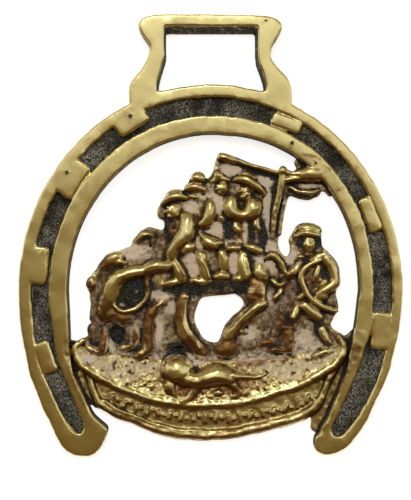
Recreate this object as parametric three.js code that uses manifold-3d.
// A cast horse brass: a horseshoe with a strap loop on top, and inside it a fairground outing in
// relief, four riders on one horse with a man at its head and one behind, a dog on the ground and
// an inscription panel below. It is one casting, about 88 mm tall, lying on its flat back.
// Millimetres, +Z out of the face, +Y towards the strap loop.
import * as THREE from "three";
import { mergeVertices } from "three/addons/utils/BufferGeometryUtils.js";
import Module from "manifold-3d";

const wasm = await Module();
wasm.setup();

// ---- driving dimensions ----
const rimTop = 3.4; // the polished front of the shoe and the strap loop
const grooveFloor = 2.3; // the fullering groove between the shoe's two rims
const webTop = 1.4; // the thin plate behind the figures
const bodyTop = 2; // the joined bodies of the riders, the horse and the walkers
const gutterTop = 1.0; // the black strips between the shoe and the inscription panel
const groundTop = 2.1; // the turf under the figures
const panelTop = 1.9; // the inscription panel's sunk floor
const edgeRound = 0.4; // how far a polished edge is rounded back
const below = 2; // how far cutting tools run past a face

const shoeCentreY = -11; // the level of the shoe's widest part
const outerArch = { x: 0, across: 38.25, up: 41 };
const grooveOuterArch = { x: 0, across: 36.1, up: 38.7 };
const grooveInnerArch = { x: 0, across: 32.35, up: 34.9 };
const windowArch = { x: 0.6, across: 29.1, up: 31.3 };
const archSteps = 26;

// ---- solids from three.js geometry ----
function solid(geometry) {
  const bare = geometry.clone();
  bare.deleteAttribute("normal");
  bare.deleteAttribute("uv");
  const merged = mergeVertices(bare, 1e-4);
  return new wasm.Manifold(
    new wasm.Mesh({
      numProp: 3,
      vertProperties: new Float32Array(merged.attributes.position.array),
      triVerts: new Uint32Array(merged.index.array),
    }),
  );
}

// The union of a list of solids, joined in pairs so that no join is much larger than the others.
function joined(solids) {
  let rest = solids;
  while (rest.length > 1) {
    const next = [];
    for (let i = 0; i < rest.length; i += 2) {
      next.push(i + 1 < rest.length ? rest[i].add(rest[i + 1]) : rest[i]);
    }
    rest = next;
  }
  return rest[0];
}

// ---- outlines ----
const points = (pairs) => pairs.map(([x, y]) => new THREE.Vector2(x, y));

// A smooth closed outline through hand-set points, with a few straight steps in each span.
function smoothOutline(pairs, stepsPerSpan = 2) {
  const curve = new THREE.CatmullRomCurve3(
    pairs.map(([x, y]) => new THREE.Vector3(x, y, 0)),
    true,
    "centripetal",
  );
  return curve.getPoints(pairs.length * stepsPerSpan).slice(0, -1).map((p) => [p.x, p.y]);
}

// The upper half of one of the shoe's edges, an elliptic arch from one side to the other.
function arch({ x, across, up }, from = 0, to = Math.PI, steps = archSteps) {
  return Array.from({ length: steps + 1 }, (_, i) => {
    const angle = from + ((to - from) * i) / steps;
    return [x + across * Math.cos(angle), shoeCentreY + up * Math.sin(angle)];
  });
}

// A flat plate between two levels. With a rounding, its front edge is chamfered by that much.
function plate(outline, low, high, rounding = 0, holes = []) {
  const shape = new THREE.Shape(points(outline));
  holes.forEach((hole) => shape.holes.push(new THREE.Path(points(hole))));
  if (!rounding) {
    const flat = new THREE.ExtrudeGeometry(shape, { depth: high - low, bevelEnabled: false });
    return solid(flat.translate(0, 0, low));
  }
  const drop = rounding * 1.2;
  const rounded = new THREE.ExtrudeGeometry(shape, {
    depth: high - low,
    bevelThickness: drop,
    bevelSize: rounding,
    bevelOffset: -rounding,
    bevelSegments: 1,
  });
  const cut = new THREE.BoxGeometry(200, 200, 10).translate(0, 0, low - 5);
  return solid(rounded.translate(0, 0, low - drop)).subtract(solid(cut));
}

// ---- rounded forms ----
// A limb, strap or ridge lofted through balls [x, y, z, radius] lying along the face. It starts
// as a lathed rod with one ring for each ball, and every ring is then moved to its ball.
function limb(balls, sides = 6) {
  const centres = balls.map(([x, y, z]) => new THREE.Vector3(x, y, z));
  const last = balls.length - 1;
  const rings = balls.map((_, i) => [1, i]);
  const rod = new THREE.LatheGeometry(points([[0, -1], ...rings, [0, last + 1]]), sides);
  const place = rod.attributes.position;
  const vertex = new THREE.Vector3();
  for (let i = 0; i < place.count; i++) {
    vertex.fromBufferAttribute(place, i);
    const ring = Math.round(THREE.MathUtils.clamp(vertex.y, 0, last));
    const beyond = Math.round(vertex.y) - ring;
    const before = centres[Math.max(ring - 1, 0)];
    const after = centres[Math.min(ring + 1, last)];
    const along = after.clone().sub(before).normalize();
    const aside = new THREE.Vector3(along.y, -along.x, 0).normalize();
    const radius = balls[ring][3];
    const out = aside.multiplyScalar(vertex.x * radius);
    out.addScaledVector(along, beyond * radius).setZ(out.z + vertex.z * radius);
    place.setXYZ(i, ...out.add(centres[ring]).toArray());
  }
  return solid(rod);
}

// A rounded lump at [x, y, z] with its half sizes, turned in the plane of the face.
function lump([x, y, z], [halfX, halfY, halfZ], degrees = 0) {
  const geometry = new THREE.SphereGeometry(1, 8, 6).rotateX(Math.PI / 2);
  geometry.scale(halfX, halfY, halfZ).rotateZ(THREE.MathUtils.degToRad(degrees));
  return solid(geometry.translate(x, y, z));
}

// ---- the shoe and its strap loop ----
const leftLeg = [
  [-37.9, -17.5], [-37, -23], [-35.7, -28.5], [-34.1, -32.8], [-32.4, -36.6], [-31.1, -39.4],
  [-29.7, -41.8], [-27.6, -43.5], [-25.4, -44], [-23.4, -43.6], [-21.9, -42.2], [-21.1, -40.3],
  [-20.5, -38.9], [-21.3, -37.6], [-22.6, -36.5], [-23.7, -35], [-24.6, -33.4], [-26.1, -30.4],
  [-27.3, -27], [-28, -23.5], [-28.2, -17.5],
];
const rightLeg = [
  [28.9, -17.5], [28.1, -21.5], [27.2, -26], [26.2, -29.3], [24.8, -33], [23.5, -36],
  [22.1, -38.2], [20.7, -39.4], [20.4, -41], [21, -42.8], [23.2, -43.5], [25.8, -42.7],
  [27.9, -41.2], [29.5, -39.1], [31.1, -36.7], [33.2, -32.4], [35, -28.6], [36.3, -25],
  [37.3, -20.4], [37.9, -16.5],
];

function shoeOutline() {
  const outer = arch(outerArch);
  const window = arch(windowArch).reverse();
  return [...outer, ...leftLeg, ...window, ...rightLeg];
}

const loopOutline = [
  [-16.1, 26.6], [-16.3, 28.6], [-16, 30.2], [-15.2, 31.5], [-13.6, 33.2], [-12.6, 35.2],
  [-12.2, 37], [-12.5, 38.4], [-13.5, 40], [-14.35, 41.6], [-13.8, 43], [-12, 43.75], [-8.5, 44],
  [8.5, 44], [12.2, 43.6], [13.9, 42.6], [14.3, 41.6], [13.5, 39.9], [12.5, 38.2], [12, 36.8],
  [12.3, 35], [13.5, 33.6], [15, 31.9], [15.9, 30], [16.15, 28.4], [16.2, 26.6], [10, 24.5],
  [-10, 24.5],
];
const slotOutline = [
  [-9.3, 41.7], [-9.4, 38], [-9.2, 35.8], [-9.5, 34], [-10.2, 31.9], [-10.7, 29.5],
  [-10.3, 28.75], [-6.5, 29.5], [-2, 30.05], [2, 30.1], [6.5, 29.6], [10.6, 28.85], [11, 29.6],
  [10.7, 31.7], [10, 33.6], [9.3, 35.6], [9.4, 38], [9.4, 41.7],
];
// How much narrower the slot is at the back than at the front, on each side of it.
const slotDraft = { top: 1.1, left: 0.3, right: 0.45 };

function slot() {
  const shape = new THREE.Shape(points(slotOutline));
  const cutter = new THREE.ExtrudeGeometry(shape, { depth: rimTop + 2 * below, bevelEnabled: false });
  cutter.translate(0, 0, -below);
  const place = cutter.attributes.position;
  for (let i = 0; i < place.count; i++) {
    const share = (rimTop - place.getZ(i)) / rimTop;
    if (place.getY(i) > 41) place.setY(i, place.getY(i) - slotDraft.top * share);
    if (place.getX(i) < -9) place.setX(i, place.getX(i) + slotDraft.left * share);
    if (place.getX(i) > 9) place.setX(i, place.getX(i) - slotDraft.right * share);
  }
  return solid(cutter);
}

// The fullering groove, between the two rims and rounded off in the heels.
const grooveLeft = [
  [-35.9, -16], [-35, -21.5], [-33.6, -26.5], [-31.9, -31], [-30.1, -34.6], [-28.2, -37.4],
  [-26.6, -39.1], [-25.4, -38.8], [-25.3, -37.2], [-26.2, -35], [-27.7, -32], [-29.2, -28.7],
  [-30.5, -24.5], [-31.7, -19],
];
const grooveRight = [
  [31.9, -18], [30.7, -22.5], [29.7, -26], [28.3, -30.4], [26.5, -34], [24.9, -36.6], [24.1, -38.4],
  [25.6, -39.7], [27.3, -38.6], [29.3, -36.2], [31.5, -32.5], [33.3, -28.4], [34.9, -23.4],
  [36, -16.5],
];

function groove() {
  const outline = [
    ...arch(grooveOuterArch),
    ...grooveLeft,
    ...arch(grooveInnerArch).reverse(),
    ...grooveRight,
  ];
  return plate(outline, grooveFloor, rimTop + below);
}

// The nail heads in the groove: [x, y, length, width, degrees], four on one side and three on the other.
const nailHeads = [
  [-15.9, 22.5, 6.4, 3.3, 32], [-27.3, 11.1, 7.6, 3.4, 58], [-34, -5.9, 7.3, 3, 83],
  [-32.8, -24.2, 6, 2.7, -71], [15.2, 22.4, 6.3, 2.6, -19], [31.6, 4.1, 7, 2.6, -67],
  [33.8, -19, 7.2, 3.2, -95],
];

function nailHead([x, y, length, width, degrees]) {
  const corner = 0.7;
  const outline = [
    [-1, -1], [1, -1], [1, 1], [-1, 1],
  ].flatMap(([sideX, sideY]) => {
    const a = [(sideX * length) / 2 - sideX * corner, (sideY * width) / 2];
    const b = [(sideX * length) / 2, (sideY * width) / 2 - sideY * corner];
    return sideX * sideY < 0 ? [a, b] : [b, a];
  });
  const turn = THREE.MathUtils.degToRad(degrees);
  const placed = outline.map(([u, v]) => [
    x + u * Math.cos(turn) - v * Math.sin(turn),
    y + u * Math.sin(turn) + v * Math.cos(turn),
  ]);
  return plate(placed, 1, rimTop - 0.05, 0.2);
}

// ---- the pierced plate behind the figures ----
const figuresOutline = [
  [-29, -21.2], [-26.6, -21.2], [-24.8, -20.2], [-24.6, -18.6], [-24.1, -17.3], [-24.3, -16],
  [-23.9, -13.5], [-24.7, -10.6], [-24.3, -9], [-22.8, -7.9], [-21.8, -5.8], [-20.3, -3.9],
  [-17.6, -2.6], [-15.9, -1.8], [-15.1, -0.3], [-13.6, 0.9], [-12.5, 1.8], [-11, 1.5], [-9.7, 1.3],
  [-9.3, 2.6], [-10.6, 4.5], [-9.9, 6.2], [-8.8, 8.2], [-7.2, 9.3], [-5.5, 9.2], [-4.6, 10.3],
  [-3.9, 11.6], [-2.4, 12.4], [-0.9, 11.6], [0.1, 12.1], [0.8, 13.9], [1.2, 15.6], [2.3, 16.6],
  [4, 16.4], [8.4, 14.5], [12.7, 12.9], [14.4, 13.8], [15.6, 13], [17.1, 13.3], [17, 15], [20, 16],
  [26, 10], [24, 8.3], [22.4, 8.8], [21.1, 7.7], [19.4, 7.2], [16.1, 8], [15.4, 6.2], [14.5, 2.8],
  [13.7, -1.2], [13.9, -3], [15, -4.1], [15.9, -3.8], [15.9, -1.3], [16.9, 0.8], [18.1, 2.4],
  [20.3, 2.4], [22.1, 1], [22.6, -0.8], [22.6, -2.3], [24.3, -3.9], [25.2, -6.4], [25.7, -9],
  [25.3, -12], [25.8, -14.4], [24.9, -16.3], [24.2, -18], [25, -19.1], [26.6, -20], [27.4, -20],
  [29.5, -18.5], [29.5, -22.5], [0, -26], [-29, -24],
];
// The joined bodies, from which only heads, arms and legs stand out.
const ridersOutline = [
  [-8.6, 7.5], [-8.9, 4.6], [-9.1, 1.6], [-8.9, -1], [-9.4, -5.4], [-7.9, -9.5], [-3, -10.2],
  [3, -9.4], [9, -9.3], [10.6, -5.5], [10.4, -1.6], [10.6, 2], [9.6, 5.7], [10.4, 8.5], [8.4, 11.9],
  [5.4, 11.2], [4, 10.8], [1.6, 12], [-0.9, 10.6], [-2.6, 11.6], [-4.4, 9.9], [-5.2, 7.6],
];
const walkerOutline = [
  [17.1, 0.4], [19.4, 1.9], [21.8, 0.4], [22, -2.6], [23.7, -4.6], [24.9, -7.8], [24.6, -11.2],
  [24.8, -14.4], [23, -16.8], [19.3, -15.6], [16.2, -16.4], [16.8, -11.8], [16.2, -8.6],
  [16.4, -5.4], [17.6, -3.9], [16.8, -2.4],
];
const groomOutline = [
  [-23.7, -8.4], [-21.6, -5.9], [-16.6, -4], [-13.8, -1.6], [-12, 0.6], [-10, -1.2], [-9.3, -6.4],
  [-16.6, -7.4], [-19.6, -8.6], [-22.2, -13.4], [-20.4, -17.3], [-21, -21.4], [-23.8, -22],
  [-23.4, -17.4], [-23.8, -12.8],
];
const bellyHole = [
  [-2.2, -13], [-0.4, -12.3], [2.3, -11.9], [4.7, -11.5], [6.3, -12.7], [6.7, -13.9], [5.3, -15.6],
  [3.3, -17.7], [2.1, -19.6], [1.5, -21.3], [0.3, -21.5], [-1.9, -20], [-3, -17.8], [-3.1, -15.5],
];
// Two deep pockets between the legs: [x, y, half width, half height].
const pockets = [
  [-18.6, -19.6, 1.6, 1.7], [-6.3, -22.3, 1.4, 0.5],
];

const panelOutline = [
  [-29, -22], [-28.3, -27], [-25.4, -33.2], [-23.5, -34.7], [-21.3, -35.7], [-18.6, -36.7], [-15.7, -37.5],
  [-12.4, -38.9], [-8.4, -40], [-3.5, -40.6], [1, -40.7], [5.5, -40.2], [9, -39.5], [12.5, -38.3],
  [16.5, -37.3], [20.3, -36.1], [20.2, -38.8], [22.5, -39.3], [27.5, -27], [28.5, -21], [0, -24],
];
const lipPath = [
  [-26.1, -21.6], [-27, -23.1], [-26.2, -25.2], [-23.6, -27.1], [-19.3, -29.2], [-14.6, -31.1],
  [-9.6, -32.7], [-4, -33.5], [1.5, -33.5], [7, -32.7], [12.5, -31.4], [17.3, -29.6], [21, -27.6],
  [24.5, -25.7], [26.1, -23.6], [26.4, -21.7], [25.3, -20.6],
];
const panelRidge = [
  [-24.4, -27.3], [-23.2, -30.6], [-22.2, -33.2], [-19.5, -35], [-15.3, -36.7], [-11, -38.3],
  [-6.5, -39.3], [-1, -39.7], [4.5, -39.4], [9.3, -38.5], [14, -37.1], [18.4, -35.8], [21, -33.9],
  [22.4, -31.2], [24.4, -27.8],
];

function groundAndPanel() {
  const turf = [...lipPath, [20, -23], [0, -24.6], [-20, -23.6]];
  const panel = [...lipPath.slice(2, -2), ...panelRidge.slice().reverse()];
  const strokes = Array.from({ length: 15 }, (_, i) => {
    const across = -19.2 + i * 2.6;
    const level = -36.6 + 0.0108 * across * across + (i % 2) * 0.3;
    const lean = ((i * 5) % 3) - 1;
    const foot = [across - 0.4 * lean, level - 0.9, panelTop - 0.05, 0.4];
    const head = [across + 0.4 * lean, level + 0.9, panelTop - 0.05, 0.35];
    return limb([foot, head], 5);
  });
  return [
    plate(smoothOutline(panelOutline, 1), 0, gutterTop),
    plate(turf, 0, groundTop),
    plate(panel, 0, panelTop),
    limb(lipPath.map(([x, y]) => [x, y, 2.7, 0.75])),
    limb(panelRidge.map(([x, y]) => [x, y, 2.3, 0.65])),
    ...strokes,
  ];
}

// ---- the figures: balls are [x, y, z, radius] ----
function horse() {
  const neck = limb([
    [-8.8, -5.9, 2.2, 0.9], [-11.5, -5.9, 2.5, 1], [-14, -6.9, 2.5, 0.95], [-17.2, -7.6, 2.4, 1.2],
    [-19.4, -8.9, 2.2, 1.8], [-20.7, -11.5, 2.1, 1.8], [-21.3, -13.8, 2.1, 1.5], [-21.7, -16, 1.9, 1.1],
  ], 8);
  const jaw = lump([-18.3, -15.8, 1.4], [3.2, 1.7, 1]);
  const rein = limb([
    [-12.9, -7.8, 2.4, 0.5], [-12.9, -10.6, 2.4, 0.45], [-13.6, -13.2, 2.4, 0.5],
    [-15.3, -14.8, 2.5, 0.55], [-17.8, -15.2, 2.5, 0.55], [-19.2, -14.1, 2.5, 0.45],
  ], 5);
  const barrel = lump([0, -9.6, 1.2], [9.5, 2, 1.2]);
  const farForeleg = limb([
    [-9.6, -12.6, 1.5, 1.2], [-11.7, -15, 1.8, 1], [-12.7, -18.5, 2, 0.85], [-12.7, -22.2, 2, 0.85],
    [-14.6, -24.1, 2.1, 0.8],
  ]);
  const nearForeleg = limb([
    [-5.3, -11, 1.8, 1.1], [-6.2, -15.6, 2.2, 1], [-5.2, -18.5, 2.4, 0.95], [-2.6, -22, 2.4, 0.9],
    [-1, -24, 2.1, 0.8],
  ]);
  const rump = lump([9.6, -8.6, 1.5], [2.2, 4.6, 1.5]);
  const nearHindleg = limb([
    [10.2, -12, 2.1, 1.1], [10, -14.2, 2.5, 0.85], [6.6, -16.8, 2.4, 0.7], [4.2, -19.4, 2.2, 0.8],
  ]);
  const nearHoof = lump([3.6, -22.4, 1.7], [2.4, 1.5, 1]);
  const farHindleg = limb([
    [13.7, -12.8, 1.7, 0.7], [13.8, -16.2, 1.9, 0.6], [12.6, -20.1, 1.8, 0.6],
  ]);
  const farHoof = lump([10.8, -21.7, 1.7], [2.1, 0.9, 0.8]);
  const tail = limb([
    [11.2, -3.9, 2.3, 0.4], [13.3, -4.4, 2.4, 0.45], [15.1, -7.3, 2.3, 0.4], [13.4, -9.6, 2.2, 0.6],
    [14.2, -11, 2.2, 0.4], [12.8, -12.5, 2.2, 0.4],
  ], 5);
  return [
    neck, jaw, rein, barrel, farForeleg, nearForeleg, rump, nearHindleg, nearHoof, farHindleg,
    farHoof, tail,
  ];
}

// The man who leads the horse, at the far left, bent behind its head.
function groom() {
  return [
    limb([[-21.9, -6.4, 1.8, 0.6], [-20.2, -4.7, 1.9, 0.7], [-16.6, -2.7, 1.8, 0.5]], 5),
    limb([[-18.6, -5.2, 2.1, 0.5], [-17.1, -5.3, 2.1, 0.4]], 5),
    limb([[-23.8, -9.3, 1.7, 1], [-23.4, -13, 1.2, 0.8], [-23.6, -16.8, 1.3, 0.8]], 5),
    limb([[-21.3, -18.8, 1.7, 0.8], [-21.6, -23, 1.8, 0.8]], 5),
    limb([[-24.7, -20.8, 1.9, 0.5], [-24, -22.3, 1.9, 0.6], [-22, -23.3, 1.9, 0.6]], 5),
    limb([[-15.3, -18.4, 1.5, 1], [-15.2, -21.4, 1.6, 0.9], [-18.2, -22.7, 1.7, 0.6]], 5),
  ];
}

function manBehind() {
  return [
    lump([-12.7, 0.6, 1.5], [1.9, 1.1, 1]),
    limb([[-14.6, -0.5, 1.9, 0.35], [-12.9, 0.4, 2.1, 0.4], [-11.4, 0, 1.9, 0.35]], 5),
    lump([-13.3, -1.5, 1.3], [1.5, 1.5, 1]),
    limb([[-14, -3.6, 1.8, 0.3], [-12, -2.7, 1.8, 0.3]], 5),
  ];
}

// The first rider has the reins, a bent back and a wide hat.
function frontRider() {
  return [
    lump([-7, 8.2, 2], [1.9, 1.1, 1.1], 10),
    limb([[-9.5, 6.6, 2.4, 0.4], [-7, 7.8, 2.8, 0.55], [-4.6, 7.8, 2.3, 0.5], [-1.6, 7.6, 2, 0.6]], 5),
    lump([-7.6, 5.1, 1.9], [1.7, 1.9, 1.3]),
    lump([-7.4, 1.4, 1.5], [1.9, 3.2, 1.4]),
    limb([
      [-4.8, 4, 2.7, 1], [-4.3, 2, 3.1, 1.05], [-5.3, -0.3, 3.2, 1.05], [-7.6, -2.8, 3, 0.9],
      [-7.4, -5.2, 2.6, 0.85], [-6, -8.4, 2.6, 0.9],
    ]),
    limb([[-5.3, -3.1, 2.6, 0.7], [-3.5, -2.2, 2.6, 0.75]]),
    limb([[-5.4, -9, 2.4, 0.75], [-8.9, -9.5, 2.4, 0.75]]),
  ];
}

function secondRider() {
  return [
    lump([-2.5, 11.2, 2], [1.5, 1.3, 1.4]),
    limb([[-4.5, 9.7, 2.2, 0.55], [-1.5, 9.6, 2.3, 0.6]]),
    limb([[0, 6.5, 2.5, 0.85], [0.2, 4, 2.7, 0.85], [-1.8, 2.2, 2.3, 0.8]]),
    limb([[-1.6, -0.2, 2.2, 0.6], [0.3, -1.6, 2.7, 1.15], [1.9, -1.3, 2.4, 0.8]]),
    limb([[-2, -3.7, 2.1, 0.95], [-1.7, -5.6, 2.2, 0.85], [-0.5, -8.7, 2.3, 0.75]]),
    limb([[-0.9, -9.1, 2.3, 0.65], [-3.8, -9.1, 2.3, 0.65]]),
  ];
}

function thirdRider() {
  return [
    lump([1.6, 11.9, 1.8], [1, 1, 1.1]),
    limb([[0.2, 10.9, 2, 0.4], [1.6, 11.6, 2.3, 0.5], [3.9, 11.1, 2, 0.35]], 5),
    lump([2.1, 9.6, 1.5], [1.3, 1.4, 1.1]),
    lump([2.2, 3.4, 1.8], [1, 0.9, 1]),
    limb([[3.1, -1.8, 2.1, 0.5], [4.7, -2.3, 2.4, 0.75], [5.9, -2.1, 2.2, 0.55]]),
    limb([[2.4, -3.3, 2, 0.8], [2.6, -4.9, 2.3, 0.95], [2.6, -6.8, 2.2, 0.8]]),
    limb([[0.8, -8.1, 2.3, 0.65], [3.4, -8, 2.3, 0.75]]),
  ];
}

// The last rider has folded arms and a long coat over the horse's rump.
function rearRider() {
  return [
    lump([7.3, 11.7, 1.9], [2.2, 1.2, 1.2], -12),
    limb([
      [4.9, 11.1, 2.4, 0.45], [7.2, 11.3, 2.9, 0.6], [9.4, 10.1, 2.7, 0.6], [10.7, 8.6, 2.2, 0.4],
    ], 5),
    lump([7.2, 9, 1.7], [1.8, 1.6, 1.2]),
    limb([
      [4.3, 7.1, 2.7, 1.1], [3.8, 5.4, 2.9, 1.3], [6.2, 4.3, 3.1, 0.9], [8.6, 5, 2.9, 1.35],
      [8.8, 6.6, 2.7, 1.2],
    ], 7),
    limb([[5.2, 2.4, 1.9, 0.8], [5.8, 0, 1.7, 0.5]], 5),
    limb([[9.5, 3.2, 1.9, 0.8], [9.1, 0, 1.7, 0.6]], 5),
    limb([[7.3, -1.9, 2.3, 0.55], [9.8, -3, 2.3, 0.8]]),
    limb([[6.6, -3.5, 2.1, 0.8], [6.4, -5.4, 2.4, 0.9], [7.2, -8.3, 2.4, 0.9]]),
    limb([[7.5, -8.6, 2.3, 0.65], [4.6, -8.6, 2.2, 0.65]]),
  ];
}

// The signpost with its long arm, the knob at the top and the leaf on the short arm.
function signpost() {
  return [
    limb([[2.5, 15.9, 1.8, 0.65], [4.8, 15.3, 1.8, 0.6], [13.2, 12.2, 1.6, 0.4]], 5),
    lump([14.4, 13, 1.8], [0.9, 0.9, 1.2]),
    limb([[14.3, 12.4, 1.9, 0.55], [13.8, 8.6, 1.8, 0.5], [12.7, -0.6, 1.5, 0.45]], 5),
    limb([[14.9, 12.1, 2, 0.7], [19.3, 12.5, 2.1, 0.9], [22.5, 12.7, 2.1, 1]]),
    lump([20.8, 13.2, 1.7], [2.4, 1.5, 1.3], -10),
    limb([[16.6, 9.9, 1.3, 0.4], [19.5, 9.3, 1.6, 0.8], [21.6, 9.6, 1.3, 0.5]], 5),
  ];
}

// The man walking behind, in a hood, with a strap across him and his hand on it.
function walker() {
  return [
    lump([19.6, 1, 1.6], [2.2, 1.2, 1.2]),
    lump([19.4, -1.2, 1.1], [2.9, 2.2, 1]),
    lump([19.5, -1.7, 1.9], [1.5, 1.9, 1.2]),
    limb([
      [23.2, -4.8, 2.2, 1], [24.8, -8.3, 2.3, 0.9], [24.3, -10.2, 2.5, 0.85], [21.7, -12, 2.6, 0.95],
    ]),
    limb([
      [22.5, -4, 2.5, 0.45], [18.7, -6.8, 2.5, 0.5], [18.3, -9.6, 2.5, 0.55], [20.4, -12.8, 2.6, 0.5],
      [24.8, -14.8, 2.2, 0.5],
    ], 5),
    limb([[22, -5.8, 2, 0.6], [20.8, -8.8, 1.9, 0.6]], 5),
    limb([[17.7, -5.1, 1.9, 0.6], [16.4, -7.4, 1.9, 0.9], [14.4, -8, 2, 0.6]], 5),
    limb([[18.7, -13.7, 2.1, 0.85], [21.6, -16.1, 2.2, 0.8]]),
    limb([[22.5, -18.2, 2.1, 0.8], [23.7, -21.1, 2, 0.7]]),
    limb([[24.3, -22.6, 2.1, 0.5], [21, -23.9, 2.2, 0.5]], 5),
    limb([
      [17.8, -12.4, 1.9, 0.8], [16.4, -16.5, 2, 0.9], [15.6, -18.8, 1.9, 0.9], [15.4, -22.3, 1.8, 0.95],
    ]),
    limb([[15, -22.9, 2, 0.6], [12, -23.1, 2, 0.5]], 5),
  ];
}

function dog() {
  return [
    lump([-6.9, -27, 2.5], [2.6, 2.1, 1.4]),
    limb([[-7.6, -28.2, 2.4, 1.1], [-8.4, -30.4, 2.3, 0.8]]),
    limb([[-4, -28.9, 2.3, 1.6], [1.4, -28.1, 2.5, 1.6], [4.3, -28.8, 2.3, 1.3]], 8),
    limb([[4.6, -27.9, 2.6, 0.55], [8.2, -28.2, 2.6, 0.45], [10.9, -27.5, 2.5, 0.35]], 5),
    limb([[-4.5, -30, 2.4, 0.9], [-4.8, -32.8, 2.4, 0.65]], 5),
    limb([[4.2, -29.6, 2.3, 0.8], [4.8, -32, 2.3, 0.6]], 5),
  ];
}

// ---- the casting ----
const shoe = plate(shoeOutline(), 0, rimTop, edgeRound)
  .add(plate(smoothOutline(loopOutline, 1), 0, rimTop, edgeRound))
  .subtract(slot())
  .subtract(groove());
const bodies = [ridersOutline, walkerOutline, groomOutline].map((edge) => plate(edge, 0, bodyTop));
const web = joined([plate(figuresOutline, 0, webTop), ...bodies, ...groundAndPanel()]);
const figures = joined([
  ...horse(),
  ...groom(),
  ...manBehind(),
  ...frontRider(),
  ...secondRider(),
  ...thirdRider(),
  ...rearRider(),
  ...signpost(),
  ...walker(),
  ...dog(),
]);
const openings = joined([
  plate(bellyHole, -below, 8),
  ...pockets.map(([x, y, halfX, halfY]) => lump([x, y, 1.6], [halfX, halfY, 1.1])),
  solid(new THREE.BoxGeometry(200, 200, 10).translate(0, 0, -5)),
]);
const casting = joined([shoe, web, figures, ...nailHeads.map(nailHead)]).subtract(openings);

function meshOf(manifold, name, material) {
  const { numProp, numVert, vertProperties, triVerts } = manifold.getMesh();
  const place = new Float32Array(numVert * 3);
  for (let i = 0; i < numVert; i++) {
    place.set(vertProperties.subarray(i * numProp, i * numProp + 3), i * 3);
  }
  const geometry = new THREE.BufferGeometry();
  geometry.setAttribute("position", new THREE.BufferAttribute(place, 3));
  geometry.setIndex(new THREE.BufferAttribute(triVerts, 1));
  geometry.computeVertexNormals();
  const mesh = new THREE.Mesh(geometry, material);
  mesh.name = name;
  return mesh;
}

const brass = new THREE.MeshStandardMaterial({ color: 0xb49a5a, roughness: 0.35, metalness: 1 });
const group = new THREE.Group();
group.add(meshOf(casting, "brass_casting", brass));
export default group;
